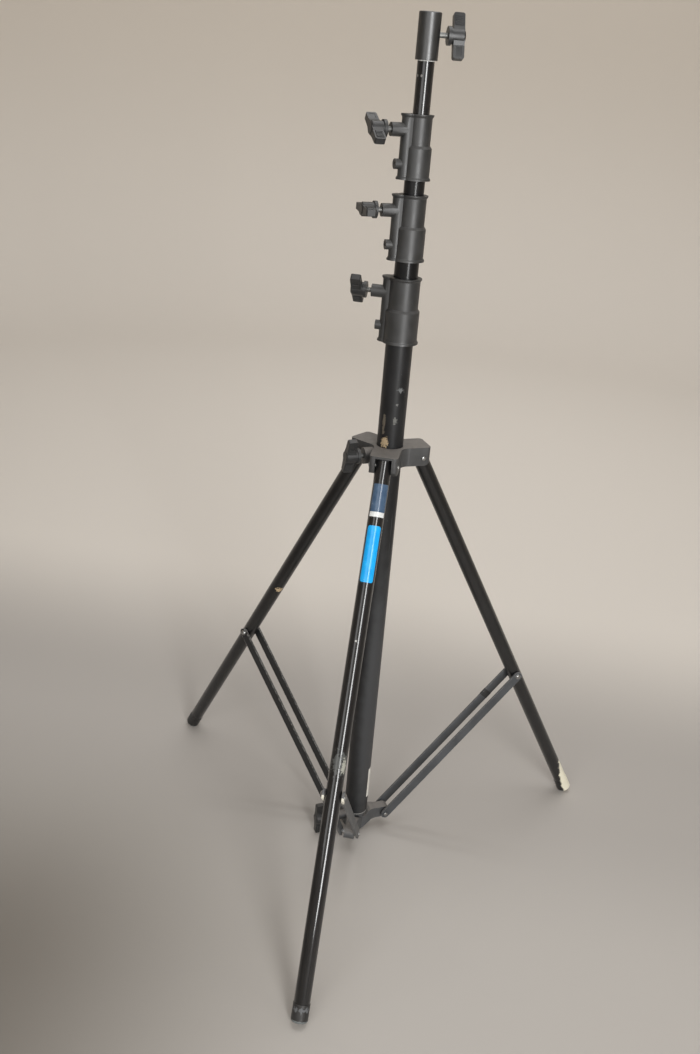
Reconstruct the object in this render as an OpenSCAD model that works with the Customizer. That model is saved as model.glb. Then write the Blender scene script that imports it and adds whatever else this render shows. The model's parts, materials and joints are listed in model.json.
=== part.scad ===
// Telescopic tripod lighting stand: four nested mast tubes, three screw-clamp collars,
// a sliding leg crown and three folding legs with paired brace bars.
// Origin on the mast axis at floor level, +Z up, front leg towards -Y. Millimetres.

/* [Mast tubes] */
// Outside diameter of the fixed column
column_od = 35; // [34:0.5:36]
// Step down in diameter from one tube to the next
tube_step = 5; // [4.8:0.1:5.2]
// Tube wall thickness
tube_wall = 1.5; // [1.2:0.1:1.6]
// Height of the column's cut lower end
column_z = 38; // [38:0.5:42]

/* [Clamp collars] */
// Top height of the column's collar
base_collar_top = 859.5; // [858:0.5:861]
// Length of the column's collar
base_collar_len = 81.5; // [78:0.5:84]
// Top height of the first riser's collar
riser_one_collar_top = 958; // [957:0.5:960]
// Length of the first riser's collar
riser_one_collar_len = 77.5; // [74:0.5:79]
// Top height of the second riser's collar
riser_two_collar_top = 1048; // [1047:0.5:1050]
// Length of the second riser's collar
riser_two_collar_len = 73; // [70:0.5:75]
// Share of a collar's length that lies below its step
ledge_share = 0.53; // [0.5:0.01:0.56]
// Share of a collar's length from its top down to the clamp screw
screw_share = 0.245; // [0.23:0.005:0.26]
// Share of a collar's length from its bottom up to the small boss
low_boss_share = 0.235; // [0.22:0.005:0.26]
// Collar wall outside a tube
collar_wall = 4.1; // [3.8:0.1:4.6]
// How far the spine stands out from the lower barrel
spine_out = 6; // [5:0.5:7]
// Half width of the spine
spine_half = 8; // [8:0.25:9]
// Flare of the rims at both ends
rim_lip = 1.6; // [1:0.1:2]
// Diameter of the clamp screw boss
boss_d = 15.8; // [14:0.2:15.8]
// Length of the boss beyond the spine
boss_out = 13.5; // [9:0.5:14]
// Compass angle of the column collar's knob
base_side = 180; // [175:1:195]
// Compass angle of the first riser collar's knob
riser_one_side = 205; // [195:1:215]
// Compass angle of the second riser collar's knob
riser_two_side = 208; // [195:1:215]

/* [Wing knobs] */
// Span over both wings
knob_span = 51; // [44:0.5:53]
// Diameter of the knob's barrel
knob_d = 17; // [15:0.5:18]
// Length of the knob along its screw
knob_len = 20; // [20:0.5:24]
// Width of a wing along the screw
wing_w = 13; // [11.5:0.5:13]
// Clamp screw shank diameter
screw_d = 6; // [5.5:0.1:6.4]
// Bare shank between boss and knob
shank_gap = 6; // [4:0.2:8]
// Turn of the column collar's knob about its screw
base_knob_turn = -46; // [-90:1:90]
// Turn of the first riser collar's knob
riser_one_knob_turn = 88; // [-90:1:90]
// Turn of the second riser collar's knob
riser_two_knob_turn = 60; // [-90:1:90]
// Turn of the top socket's knob
socket_knob_turn = -20; // [-90:1:90]
// Turn of the crown's knob
crown_knob_turn = -20; // [-90:1:90]
// Turn of the lower casting's knob
lower_knob_turn = 0; // [-90:1:90]

/* [Spigot socket] */
// Outside diameter of the top socket
socket_od = 26; // [25:0.5:28]
// Bottom height of the top socket
socket_z = 1105.5; // [1104:0.5:1110]
// Length of the top socket
socket_len = 50; // [50:0.5:56]
// Diameter of the bore for a 16 mm spigot
spigot_bore_d = 16.2; // [16.1:0.1:16.4]
// Depth of that bore
spigot_depth = 34; // [30:1:34]
// Compass angle of the socket's knob
socket_side = 18; // [0:1:45]

/* [Legs] */
// Leg tube diameter
leg_od = 21; // [20:0.25:21.5]
// Leg angle from the vertical
leg_angle = 28.46; // [27:0.1:30]
// Radius of the circle of leg hinges
hinge_r = 42.7; // [42:0.1:46]
// Height of the leg hinges
hinge_z = 624.6; // [618:0.2:630]
// Hinge to brace rivet, along the leg
brace_drop = 424.9; // [410:0.1:435]
// Radius of the circle of lower brace pins
low_pin_r = 46; // [44:0.5:48]
// Height of the lower brace pins
low_pin_z = 26; // [25:0.5:28]
// Width of a brace bar
bar_w = 14; // [12:0.5:15]
// Thickness of a brace bar
bar_t = 3; // [2:0.25:4]

/* [Castings] */
// Compass angle of the crown's knob and the lower casting's knob
crown_side = 210; // [208:1:212]
// Width over a crown arm
arm_w = 37; // [36:0.5:38]
// Crown height above the hinges
crown_up = 15; // [14.5:0.5:18]
// Crown height below the hinges
crown_down = 10.5; // [10.5:0.5:13]
// Reach of a crown arm beyond its hinge
arm_past = 10.2; // [10:0.1:12]
// Radius of the hollow between two crown arms
crown_fillet = 15; // [12:0.5:16]
// Half width of a lower arm at the hub
lower_arm_root = 12; // [11:0.5:13]
// Half width of a lower arm at its eye
lower_arm_eye = 7.6; // [6.5:0.1:8.5]

/* [Hidden] */
$fn = 96;
leg_sides = [270, 30, 150];
fit = 0.06;
slip = 0.3;
seat = 0.04;
over = 1;
touch = 0.05;
column_r = column_od / 2;
riser_one_r = column_r - tube_step / 2;
riser_two_r = riser_one_r - tube_step / 2;
riser_three_r = riser_two_r - tube_step / 2;
tube_gap = 1.2;
screw_r = screw_d / 2;
screw_hold = 0.55;
pin_r = 3;
pin_proud = 0.8;
shoe_r = 4.5;
shoe_len = 5.2;
shoe_travel = 1.5;
bush_wall = 1.7;
bush_cover = 2;
bush_gap = 0.2;
rim_h = 4;
rim_band = 1.5;
shoulder_h = 3;
shoulder_flat = 0.4;
low_boss_r = 6;
low_boss_out = 5.5;
grub_r = 2.2;
grub_hex_r = 1.2;
grub_hex_depth = 2.4;
grub_sink = 0.6;
flange_lip = 1.75;
flange_t = 4;
knob_cap = 2;
wing_in = 6.2;
wing_corner = 2.5;
wing_flare = 6;
wing_root = 4.5;
wing_tip = 3.7;
flare_low = 5;
flare_high = 11;
rib_count = 5;
rib_pitch = 2.3;
rib_w = 1.1;
rib_h = 0.9;
rib_inset = 2;
panel_sink = 0.1;
panel_low = 12.5;
panel_edge = 3;
piston_flange = 12;
piston_plug = 24;
piston_slack = 0.5;
seal_h = 5;
seal_depth = 2.4;
seal_rise = 3;
bleed_r = 1.5;
base_screw_z = screw_at(base_collar_top, base_collar_len);
riser_one_screw_z = screw_at(riser_one_collar_top, riser_one_collar_len);
riser_two_screw_z = screw_at(riser_two_collar_top, riser_two_collar_len);
riser_one_z = 110;
riser_two_z = 172;
riser_three_z = 270;
socket_seat = 15;
socket_bevel = 1;
socket_screw_z = socket_z + 27;
socket_shank = 8.8;
socket_pad = 1.5;
socket_pad_x = spigot_bore_d / 2 + 0.5;
crown_screw_z = hinge_z + 1.5;
crown_boss_r = 11;
crown_boss_end = 37;
crown_knob_gap = 5.5;
crown_core_r = 27;
crown_scallop = 0.4;
crown_bore_gap = 0.4;
arm_end = hinge_r + arm_past;
arm_corner = 5;
arm_round = 9;
slot_half = leg_od / 2 + 0.4;
slot_in = hinge_r - leg_od / 2 - 1.5;
slot_up = leg_od / 2 + 1.5;
leg_over = 5;
leg_plug_len = 22;
foot_r = leg_od / 2 + 0.5;
foot_round = 3;
foot_cover = 18;
foot_sole = 5;
leg_len = (hinge_z - (foot_r - foot_round) * sin(leg_angle) - foot_round) / cos(leg_angle) + foot_round;
bar_in = foot_r + 0.4;
brace_run = hinge_r + brace_drop * sin(leg_angle) - low_pin_r;
brace_rise = hinge_z - brace_drop * cos(leg_angle) - low_pin_z;
brace_len = sqrt(brace_run * brace_run + brace_rise * brace_rise);
brace_angle = atan2(brace_run, brace_rise);
rivet_head_r = 4.4;
rivet_face_r = 3.2;
rivet_head_h = 1.6;
eye_r = 9;
hub_r = 14.4;
hub_low = 4.3;
hub_top = column_z - 2.4;
arm_low = hub_low + 0.3;
stem_r = 9;
stem_low = 9;
plug_lip_r = column_r - 0.5;
plug_top = column_z + 32;
plug_floor = 4;
plug_pocket_r = 11;
lower_screw_z = 28.4;
lower_boss_r = 7;
lower_boss_end = 40;

function collar_reach(out_r) = out_r + collar_wall + spine_out;
function boss_end(out_r) = collar_reach(out_r) + boss_out;
function knob_at(out_r) = boss_end(out_r) + shank_gap;
function ledge_at(top, len) = top - len * (1 - ledge_share);
function screw_at(top, len) = top - len * screw_share;
function low_boss_at(top, len) = top - len * (1 - low_boss_share);
function wing_y(z) = wing_tip + (wing_root - wing_tip) * (knob_span / 2 - z) / (knob_span / 2 - flare_high);

// Placing

module toward(angle) {
    rotate([0, 0, angle]) children();
}

// Local +X runs out along a clamp screw, turned about that screw.
module on_screw(angle, z, turn = 0) {
    toward(angle) translate([0, 0, z]) rotate([turn, 0, 0]) children();
}

module rod_x(r, x0, x1) {
    translate([x0, 0, 0]) rotate([0, 90, 0]) cylinder(r = r, h = x1 - x0);
}

module rod_y(r, y0, y1) {
    translate([0, y0, 0]) rotate([-90, 0, 0]) cylinder(r = r, h = y1 - y0);
}

module rod_z(r, z0, z1) {
    translate([0, 0, z0]) cylinder(r = r, h = z1 - z0);
}

// Local origin on a leg's hinge, the leg runs down local -Z.
module on_leg(angle) {
    toward(angle) translate([hinge_r, 0, hinge_z]) rotate([0, -leg_angle, 0]) children();
}

// Local origin on a lower brace pin, the bar runs up local +Z.
module on_brace(angle) {
    toward(angle) translate([low_pin_r, 0, low_pin_z]) rotate([0, brace_angle, 0]) children();
}

module pipe(r, wall, z0, z1) {
    difference() {
        rod_z(r, z0, z1);
        rod_z(r - wall, z0 - over, z1 + over);
    }
}

// Clamp collars

module collar_plan(r, reach, half) {
    circle(r = r);
    translate([reach - half, 0]) circle(r = half);
    translate([0, -half]) square([reach - half, 2 * half]);
}

// Rim that widens upwards from the collar's outline, then stands straight.
module flared_rim(r, reach, half) {
    flare = rim_h - rim_band;
    cylinder(r1 = r, r2 = r + rim_lip, h = flare);
    translate([reach - half, 0, 0]) cylinder(r1 = half, r2 = half + rim_lip, h = flare);
    rotate([90, 0, 90]) linear_extrude(reach - half)
        polygon([[-half, 0], [half, 0], [half + rim_lip, flare], [-half - rim_lip, flare]]);
    translate([0, 0, flare]) linear_extrude(rim_band)
        collar_plan(r + rim_lip, reach + rim_lip, half + rim_lip);
}

// Wide lower barrel on the outer tube, sloped shoulder, narrow upper barrel on the inner tube.
module collar_shell(in_r, out_r, bottom, ledge, top) {
    up_r = in_r + collar_wall;
    low_r = out_r + collar_wall;
    reach = collar_reach(out_r);
    shoulder = ledge - shoulder_h;
    translate([0, 0, bottom]) linear_extrude(shoulder - bottom) collar_plan(low_r, reach, spine_half);
    translate([0, 0, shoulder]) cylinder(r1 = low_r, r2 = up_r + shoulder_flat, h = shoulder_h);
    translate([0, 0, shoulder]) linear_extrude(top - shoulder) collar_plan(up_r, reach, spine_half);
    translate([0, 0, top - rim_h]) flared_rim(up_r, reach, spine_half);
    translate([0, 0, bottom + rim_h]) mirror([0, 0, 1]) flared_rim(low_r, reach, spine_half);
}

module clamp_collar(side, in_r, out_r, top, len) {
    bottom = top - len;
    ledge = ledge_at(top, len);
    low_end = collar_reach(out_r) + low_boss_out;
    toward(side) difference() {
        union() {
            collar_shell(in_r, out_r, bottom, ledge, top);
            translate([0, 0, screw_at(top, len)]) rod_x(boss_d / 2, in_r, boss_end(out_r));
            translate([0, 0, low_boss_at(top, len)]) rod_x(low_boss_r, out_r, low_end);
        }
        rod_z(out_r + seat, bottom - over, ledge - over);
        rod_z(in_r + slip, bottom, top + over);
        rod_z(in_r + slip + bush_wall + seat, ledge, top - bush_cover);
        translate([0, 0, screw_at(top, len)]) rod_x(shoe_r + fit, 0, in_r + slip + shoe_len + shoe_travel);
        translate([0, 0, screw_at(top, len)]) rod_x(screw_r + fit, 0, boss_end(out_r) + over);
        translate([0, 0, low_boss_at(top, len)]) rod_x(grub_r, 0, low_end + over);
    }
}

module guide_bush(side, in_r, top, len) {
    toward(side) difference() {
        pipe(in_r + slip + bush_wall, bush_wall, ledge_at(top, len) + bush_gap, top - bush_cover - bush_gap);
        translate([0, 0, screw_at(top, len)]) rod_x(shoe_r + slip, 0, 2 * in_r);
    }
}

// Grub screw that holds the collar on its tube.
module collar_grub(side, out_r, top, len) {
    end = collar_reach(out_r) + low_boss_out - grub_sink;
    on_screw(side, low_boss_at(top, len)) difference() {
        rod_x(grub_r - seat, out_r + 2 * touch, end);
        translate([end - grub_hex_depth, 0, 0]) rotate([0, 90, 0])
            cylinder(r = grub_hex_r, h = grub_hex_depth + over, $fn = 6);
    }
}

// Pad pushed on a tube by the clamp screw, hollowed to the tube.
module brake_shoe(side, in_r, z) {
    on_screw(side, z) difference() {
        rod_x(shoe_r, in_r - 2, in_r + slip + shoe_len);
        rod_z(in_r + slip, -shoe_r - over, shoe_r + over);
    }
}

// Plain shank from the shoe's back into the knob whose inner face is at knob_x.
module clamp_screw(side, z, x0, knob_x) {
    on_screw(side, z) rod_x(screw_r, x0 + touch, knob_x + knob_len * screw_hold);
}

// Wing knobs

module wing_face() {
    half = knob_span / 2;
    translate([0, wing_corner - half]) square([wing_w, 2 * (half - wing_corner)]);
    translate([wing_corner, -half]) square([wing_w - 2 * wing_corner, 2 * half]);
    for (x = [wing_corner, wing_w - wing_corner], z = [wing_corner - half, half - wing_corner])
        translate([x, z]) circle(r = wing_corner);
}

// Cross-section over both wings, flared where they grow out of the barrel.
module wing_section() {
    half = knob_span / 2;
    for (s = [0, 1])
        mirror([0, s])
            polygon([[-wing_flare, 0], [-wing_flare, flare_low], [-wing_root, flare_high],
                [-wing_tip, half + over], [wing_tip, half + over],
                [wing_root, flare_high], [wing_flare, flare_low], [wing_flare, 0]]);
}

// Finger ribs across one face of the upper wing.
module wing_ribs() {
    for (i = [0:rib_count - 1]) {
        z = knob_span / 2 - panel_edge - rib_w - rib_pitch * i;
        translate([wing_in + rib_inset, -wing_y(z) - rib_h, z])
            cube([wing_w - 2 * rib_inset, wing_tip, rib_w]);
    }
}

// Sunk panel in the upper wing's other face.
module wing_panel() {
    translate([wing_in + panel_edge, wing_tip - panel_sink, panel_low])
        cube([wing_w - 2 * panel_edge, wing_tip, knob_span / 2 - panel_edge - panel_low]);
}

// Wing knob, its inner face at x = 0 and its wings along local Z.
module wing_knob() {
    difference() {
        union() {
            rod_x(knob_d / 2 + flange_lip, 0, flange_t);
            rod_x(knob_d / 2, 0, knob_len - knob_cap);
            translate([knob_len - knob_cap, 0, 0]) rotate([0, 90, 0])
                cylinder(r1 = knob_d / 2, r2 = knob_d / 2 - knob_cap, h = knob_cap);
            intersection() {
                translate([wing_in, 0, 0]) rotate([90, 0, 0])
                    linear_extrude(knob_d, center = true) wing_face();
                translate([wing_in - over, 0, 0]) rotate([90, 0, 90])
                    linear_extrude(wing_w + 2 * over) wing_section();
            }
            for (s = [0, 180])
                rotate([s, 0, 0]) wing_ribs();
        }
        for (s = [0, 180])
            rotate([s, 0, 0]) wing_panel();
        rod_x(screw_r + seat, -over, knob_len * screw_hold + over);
    }
}

module placed_knob(side, z, turn, knob_x) {
    on_screw(side, z, turn) translate([knob_x, 0, 0]) wing_knob();
}

// Risers

module riser_piston(r, bore_r, z) {
    skirt_r = bore_r - piston_slack;
    groove = z - piston_flange + seal_rise;
    difference() {
        union() {
            rod_z(skirt_r, z - piston_flange, z - seat);
            rod_z(r - tube_wall - seat, z - over, z + piston_plug);
        }
        difference() {
            rod_z(bore_r, groove, groove + seal_h + 2 * fit);
            rod_z(skirt_r - seal_depth, groove - over, groove + seal_h + 2 * over);
        }
        rod_z(bleed_r, z - piston_flange - over, z + piston_plug + over);
    }
}

module piston_seal(bore_r, z) {
    low = z - piston_flange + seal_rise + fit;
    pipe(bore_r - slip, seal_depth + piston_slack - slip - fit, low, low + seal_h);
}

module spigot_body() {
    top = socket_z + socket_len;
    difference() {
        union() {
            rod_z(socket_od / 2, socket_z, top - socket_bevel);
            translate([0, 0, top - socket_bevel])
                cylinder(r1 = socket_od / 2, r2 = socket_od / 2 - socket_bevel, h = socket_bevel);
        }
        rod_z(riser_three_r + seat, socket_z - over, socket_z + socket_seat);
        rod_z(spigot_bore_d / 2, top - spigot_depth, top + over);
        on_screw(socket_side, socket_screw_z) rod_x(screw_r + fit, 0, socket_od);
    }
}

// Crown and lower casting

// Side view of a crown arm, x out from the mast axis and y up from the hinge.
module arm_side() {
    high = crown_down + crown_up;
    translate([column_r, -crown_down]) square([arm_end - arm_round - column_r, high]);
    translate([column_r, arm_round - crown_down]) square([arm_end - column_r, high - arm_round]);
    translate([arm_end - arm_round, arm_round - crown_down]) circle(r = arm_round);
}

module arm_plan() {
    translate([0, -arm_w / 2]) square([arm_end - arm_corner, arm_w]);
    translate([0, arm_corner - arm_w / 2]) square([arm_end, arm_w - 2 * arm_corner]);
    for (s = [-1, 1])
        translate([arm_end - arm_corner, s * (arm_w / 2 - arm_corner)]) circle(r = arm_corner);
}

// Three arms on a core that is hollowed out between them.
module crown_block() {
    low = hinge_z - crown_down;
    hollow_x = (arm_w / 2 + crown_fillet) / sin(60) - crown_scallop;
    difference() {
        union() {
            rod_z(crown_core_r, low, hinge_z + crown_up);
            for (a = leg_sides)
                toward(a) intersection() {
                    translate([0, 0, hinge_z]) rotate([90, 0, 0])
                        linear_extrude(arm_w, center = true) arm_side();
                    translate([0, 0, low - over]) linear_extrude(crown_down + crown_up + 2 * over) arm_plan();
                }
        }
        for (a = leg_sides)
            toward(a + 60) translate([hollow_x, 0, 0])
                rod_z(crown_fillet, low - over, hinge_z + crown_up + over);
    }
}

module crown_body() {
    low = hinge_z - crown_down - over;
    difference() {
        union() {
            crown_block();
            on_screw(crown_side, crown_screw_z) rod_x(crown_boss_r, column_r, crown_boss_end);
        }
        for (a = leg_sides)
            toward(a) {
                translate([slot_in, -slot_half, low])
                    cube([arm_end, 2 * slot_half, crown_down + slot_up + over]);
                translate([hinge_r, 0, hinge_z]) rod_y(pin_r + seat, -arm_w, arm_w);
            }
        rod_z(column_r + crown_bore_gap, low, hinge_z + crown_up + over);
        on_screw(crown_side, crown_screw_z) rod_x(shoe_r + fit, 0, column_r + slip + shoe_len + shoe_travel);
        on_screw(crown_side, crown_screw_z) rod_x(screw_r + fit, 0, crown_boss_end + over);
    }
}

// Side view of a lower arm, rising in an S from the hub to its eye, x out and y up from the floor.
module lower_arm_side() {
    eye_low = low_pin_z - eye_r;
    eye_high = low_pin_z + eye_r;
    polygon([[2, arm_low], [9, arm_low + 0.8], [20.5, eye_low - 4], [24.5, eye_low - 0.4], [30, eye_low],
        [low_pin_r, eye_low], [low_pin_r, eye_high], [34, eye_high], [29, eye_high + 1], [22, eye_high + 1],
        [18.5, eye_high - 1], [13, eye_high - 6.5], [9, eye_high - 8.6], [2, eye_high - 10]]);
    translate([low_pin_r, low_pin_z]) circle(r = eye_r);
}

module lower_arm_plan() {
    end = low_pin_r + eye_r + over;
    polygon([[2, -lower_arm_root], [12, -lower_arm_root], [32, -lower_arm_eye], [end, -lower_arm_eye],
        [end, lower_arm_eye], [32, lower_arm_eye], [12, lower_arm_root], [2, lower_arm_root]]);
}

module casting_body() {
    difference() {
        union() {
            rod_z(hub_r, hub_low, hub_top);
            for (a = leg_sides)
                toward(a) intersection() {
                    rotate([90, 0, 0]) linear_extrude(4 * lower_arm_root, center = true) lower_arm_side();
                    linear_extrude(2 * column_z) lower_arm_plan();
                }
            on_screw(crown_side, lower_screw_z) rod_x(lower_boss_r, stem_r + over, lower_boss_end);
        }
        for (a = leg_sides)
            toward(a) translate([low_pin_r, 0, low_pin_z])
                rod_y(pin_r + seat, -lower_arm_root, lower_arm_root);
        rod_z(stem_r + fit, stem_low, hub_top + over);
        on_screw(crown_side, lower_screw_z) rod_x(screw_r + fit, 0, lower_boss_end + over);
    }
}

// Plug pressed into the column's lower end, its stem held in the casting's hub.
module column_plug() {
    difference() {
        union() {
            rod_z(stem_r, stem_low + seat, column_z - over);
            rod_z(plug_lip_r, hub_top + seat, column_z - seat);
            rod_z(column_r - tube_wall - seat, column_z - over, plug_top);
        }
        rod_z(plug_pocket_r, column_z + plug_floor, plug_top + over);
    }
}

// Legs and braces

module leg_tube(angle) {
    on_leg(angle) difference() {
        pipe(leg_od / 2, tube_wall, foot_sole - leg_len, leg_over);
        rod_y(pin_r + fit, -leg_od, leg_od);
    }
}

module leg_top_plug(angle) {
    on_leg(angle) difference() {
        union() {
            rod_z(leg_od / 2 - tube_wall - seat, -leg_plug_len, leg_over + over);
            intersection() {
                sphere(r = leg_od / 2);
                rod_z(leg_od, leg_over + seat, leg_od);
            }
        }
        rod_y(pin_r + fit, -leg_od, leg_od);
    }
}

module foot_cap(angle) {
    on_leg(angle) translate([0, 0, -leg_len]) difference() {
        rotate_extrude() {
            translate([0, foot_round]) square([foot_r, foot_cover + foot_sole - foot_round]);
            square([foot_r - foot_round, foot_cover]);
            translate([foot_r - foot_round, foot_round]) circle(r = foot_round);
        }
        rod_z(leg_od / 2 + seat, foot_sole, foot_sole + foot_cover + over);
    }
}

module brace_bar(angle, side) {
    y0 = side > 0 ? bar_in : -bar_in - bar_t;
    on_brace(angle) difference() {
        translate([0, y0 + bar_t, 0]) rotate([90, 0, 0]) linear_extrude(bar_t) {
            translate([-bar_w / 2, 0]) square([bar_w, brace_len]);
            circle(r = bar_w / 2);
            translate([0, brace_len]) circle(r = bar_w / 2);
        }
        rod_y(pin_r + fit, y0 - over, y0 + bar_t + over);
        translate([0, 0, brace_len]) rod_y(pin_r + seat, y0 - over, y0 + bar_t + over);
    }
}

// Rivet halves in the two bars, each with a coned head outside.
module brace_rivets(angle) {
    on_brace(angle) translate([0, 0, brace_len]) for (s = [0, 1])
        mirror([0, s, 0]) {
            rod_y(pin_r, bar_in, bar_in + bar_t + over);
            translate([0, bar_in + bar_t + seat, 0]) rotate([-90, 0, 0])
                cylinder(r1 = rivet_head_r, r2 = rivet_face_r, h = rivet_head_h);
        }
}

// Sub-parts

module base_tube() {
    end = ledge_at(base_collar_top, base_collar_len) - tube_gap;
    color([0.03, 0.03, 0.035]) pipe(column_r, tube_wall, column_z, end);
}
module base_collar() {
    color([0.06, 0.06, 0.065])
        clamp_collar(base_side, riser_one_r, column_r, base_collar_top, base_collar_len);
}
module base_bush() {
    color([0.75, 0.74, 0.7]) guide_bush(base_side, riser_one_r, base_collar_top, base_collar_len);
}
module base_collar_screw() {
    color([0.25, 0.25, 0.26]) collar_grub(base_side, column_r, base_collar_top, base_collar_len);
}
module base_shoe() {
    color([0.7, 0.55, 0.25]) brake_shoe(base_side, riser_one_r, base_screw_z);
}
module base_screw() {
    color([0.7, 0.7, 0.7])
        clamp_screw(base_side, base_screw_z, riser_one_r + slip + shoe_len, knob_at(column_r));
}
module base_knob() {
    color([0.05, 0.05, 0.05])
        placed_knob(base_side, base_screw_z, base_knob_turn, knob_at(column_r));
}
module lower_casting() {
    color([0.12, 0.12, 0.12]) casting_body();
}
module lower_pins() {
    half = bar_in + bar_t + pin_proud;
    color([0.75, 0.75, 0.75]) for (a = leg_sides)
        toward(a) translate([low_pin_r, 0, low_pin_z]) rod_y(pin_r, -half, half);
}
module lower_plug() {
    color([0.1, 0.1, 0.1]) column_plug();
}
module lower_screw() {
    color([0.7, 0.7, 0.7])
        clamp_screw(crown_side, lower_screw_z, stem_r, lower_boss_end + shank_gap);
}
module lower_knob() {
    color([0.05, 0.05, 0.05])
        placed_knob(crown_side, lower_screw_z, lower_knob_turn, lower_boss_end + shank_gap);
}

module riser_one_tube() {
    end = ledge_at(riser_one_collar_top, riser_one_collar_len) - tube_gap;
    color([0.03, 0.03, 0.035]) pipe(riser_one_r, tube_wall, riser_one_z, end);
}
module riser_one_piston() {
    color([0.2, 0.2, 0.2]) riser_piston(riser_one_r, column_r - tube_wall, riser_one_z);
}
module riser_one_seal() {
    color([0.08, 0.08, 0.08]) piston_seal(column_r - tube_wall, riser_one_z);
}
module riser_one_collar() {
    color([0.06, 0.06, 0.065])
        clamp_collar(riser_one_side, riser_two_r, riser_one_r, riser_one_collar_top, riser_one_collar_len);
}
module riser_one_bush() {
    color([0.75, 0.74, 0.7])
        guide_bush(riser_one_side, riser_two_r, riser_one_collar_top, riser_one_collar_len);
}
module riser_one_collar_screw() {
    color([0.25, 0.25, 0.26])
        collar_grub(riser_one_side, riser_one_r, riser_one_collar_top, riser_one_collar_len);
}
module riser_one_shoe() {
    color([0.7, 0.55, 0.25]) brake_shoe(riser_one_side, riser_two_r, riser_one_screw_z);
}
module riser_one_screw() {
    color([0.7, 0.7, 0.7])
        clamp_screw(riser_one_side, riser_one_screw_z, riser_two_r + slip + shoe_len, knob_at(riser_one_r));
}
module riser_one_knob() {
    color([0.05, 0.05, 0.05])
        placed_knob(riser_one_side, riser_one_screw_z, riser_one_knob_turn, knob_at(riser_one_r));
}

module riser_two_tube() {
    end = ledge_at(riser_two_collar_top, riser_two_collar_len) - tube_gap;
    color([0.03, 0.03, 0.035]) pipe(riser_two_r, tube_wall, riser_two_z, end);
}
module riser_two_piston() {
    color([0.2, 0.2, 0.2]) riser_piston(riser_two_r, riser_one_r - tube_wall, riser_two_z);
}
module riser_two_seal() {
    color([0.08, 0.08, 0.08]) piston_seal(riser_one_r - tube_wall, riser_two_z);
}
module riser_two_collar() {
    color([0.06, 0.06, 0.065])
        clamp_collar(riser_two_side, riser_three_r, riser_two_r, riser_two_collar_top, riser_two_collar_len);
}
module riser_two_bush() {
    color([0.75, 0.74, 0.7])
        guide_bush(riser_two_side, riser_three_r, riser_two_collar_top, riser_two_collar_len);
}
module riser_two_collar_screw() {
    color([0.25, 0.25, 0.26])
        collar_grub(riser_two_side, riser_two_r, riser_two_collar_top, riser_two_collar_len);
}
module riser_two_shoe() {
    color([0.7, 0.55, 0.25]) brake_shoe(riser_two_side, riser_three_r, riser_two_screw_z);
}
module riser_two_screw() {
    color([0.7, 0.7, 0.7])
        clamp_screw(riser_two_side, riser_two_screw_z, riser_three_r + slip + shoe_len, knob_at(riser_two_r));
}
module riser_two_knob() {
    color([0.05, 0.05, 0.05])
        placed_knob(riser_two_side, riser_two_screw_z, riser_two_knob_turn, knob_at(riser_two_r));
}

module riser_three_tube() {
    color([0.03, 0.03, 0.035]) pipe(riser_three_r, tube_wall, riser_three_z, socket_z + socket_seat - slip);
}
module riser_three_piston() {
    color([0.2, 0.2, 0.2]) riser_piston(riser_three_r, riser_two_r - tube_wall, riser_three_z);
}
module riser_three_seal() {
    color([0.08, 0.08, 0.08]) piston_seal(riser_two_r - tube_wall, riser_three_z);
}
module spigot_socket() {
    color([0.07, 0.07, 0.07]) spigot_body();
}
module socket_shoe() {
    color([0.7, 0.55, 0.25])
        on_screw(socket_side, socket_screw_z) rod_x(screw_r, socket_pad_x, socket_pad_x + socket_pad);
}
module socket_screw() {
    color([0.7, 0.7, 0.7])
        clamp_screw(socket_side, socket_screw_z, socket_pad_x + socket_pad, socket_od / 2 + socket_shank);
}
module socket_knob() {
    color([0.05, 0.05, 0.05])
        placed_knob(socket_side, socket_screw_z, socket_knob_turn, socket_od / 2 + socket_shank);
}

module leg_crown() {
    color([0.13, 0.13, 0.13]) crown_body();
}
module hinge_pins() {
    half = arm_w / 2 + pin_proud;
    color([0.75, 0.75, 0.75]) for (a = leg_sides)
        toward(a) translate([hinge_r, 0, hinge_z]) rod_y(pin_r, -half, half);
}
module crown_shoe() {
    color([0.7, 0.55, 0.25]) brake_shoe(crown_side, column_r, crown_screw_z);
}
module crown_screw() {
    color([0.7, 0.7, 0.7])
        clamp_screw(crown_side, crown_screw_z, column_r + slip + shoe_len, crown_boss_end + crown_knob_gap);
}
module crown_knob() {
    color([0.05, 0.05, 0.05])
        placed_knob(crown_side, crown_screw_z, crown_knob_turn, crown_boss_end + crown_knob_gap);
}

module front_leg() {
    color([0.03, 0.03, 0.035]) leg_tube(leg_sides[0]);
}
module front_leg_plug() {
    color([0.05, 0.05, 0.05]) leg_top_plug(leg_sides[0]);
}
module front_foot() {
    color([0.08, 0.08, 0.08]) foot_cap(leg_sides[0]);
}
module front_bar_left() {
    color([0.1, 0.1, 0.1]) brace_bar(leg_sides[0], -1);
}
module front_bar_right() {
    color([0.1, 0.1, 0.1]) brace_bar(leg_sides[0], 1);
}
module front_rivets() {
    color([0.75, 0.75, 0.75]) brace_rivets(leg_sides[0]);
}
module right_leg() {
    color([0.03, 0.03, 0.035]) leg_tube(leg_sides[1]);
}
module right_leg_plug() {
    color([0.05, 0.05, 0.05]) leg_top_plug(leg_sides[1]);
}
module right_foot() {
    color([0.08, 0.08, 0.08]) foot_cap(leg_sides[1]);
}
module right_bar_left() {
    color([0.1, 0.1, 0.1]) brace_bar(leg_sides[1], 1);
}
module right_bar_right() {
    color([0.1, 0.1, 0.1]) brace_bar(leg_sides[1], -1);
}
module right_rivets() {
    color([0.75, 0.75, 0.75]) brace_rivets(leg_sides[1]);
}
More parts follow.
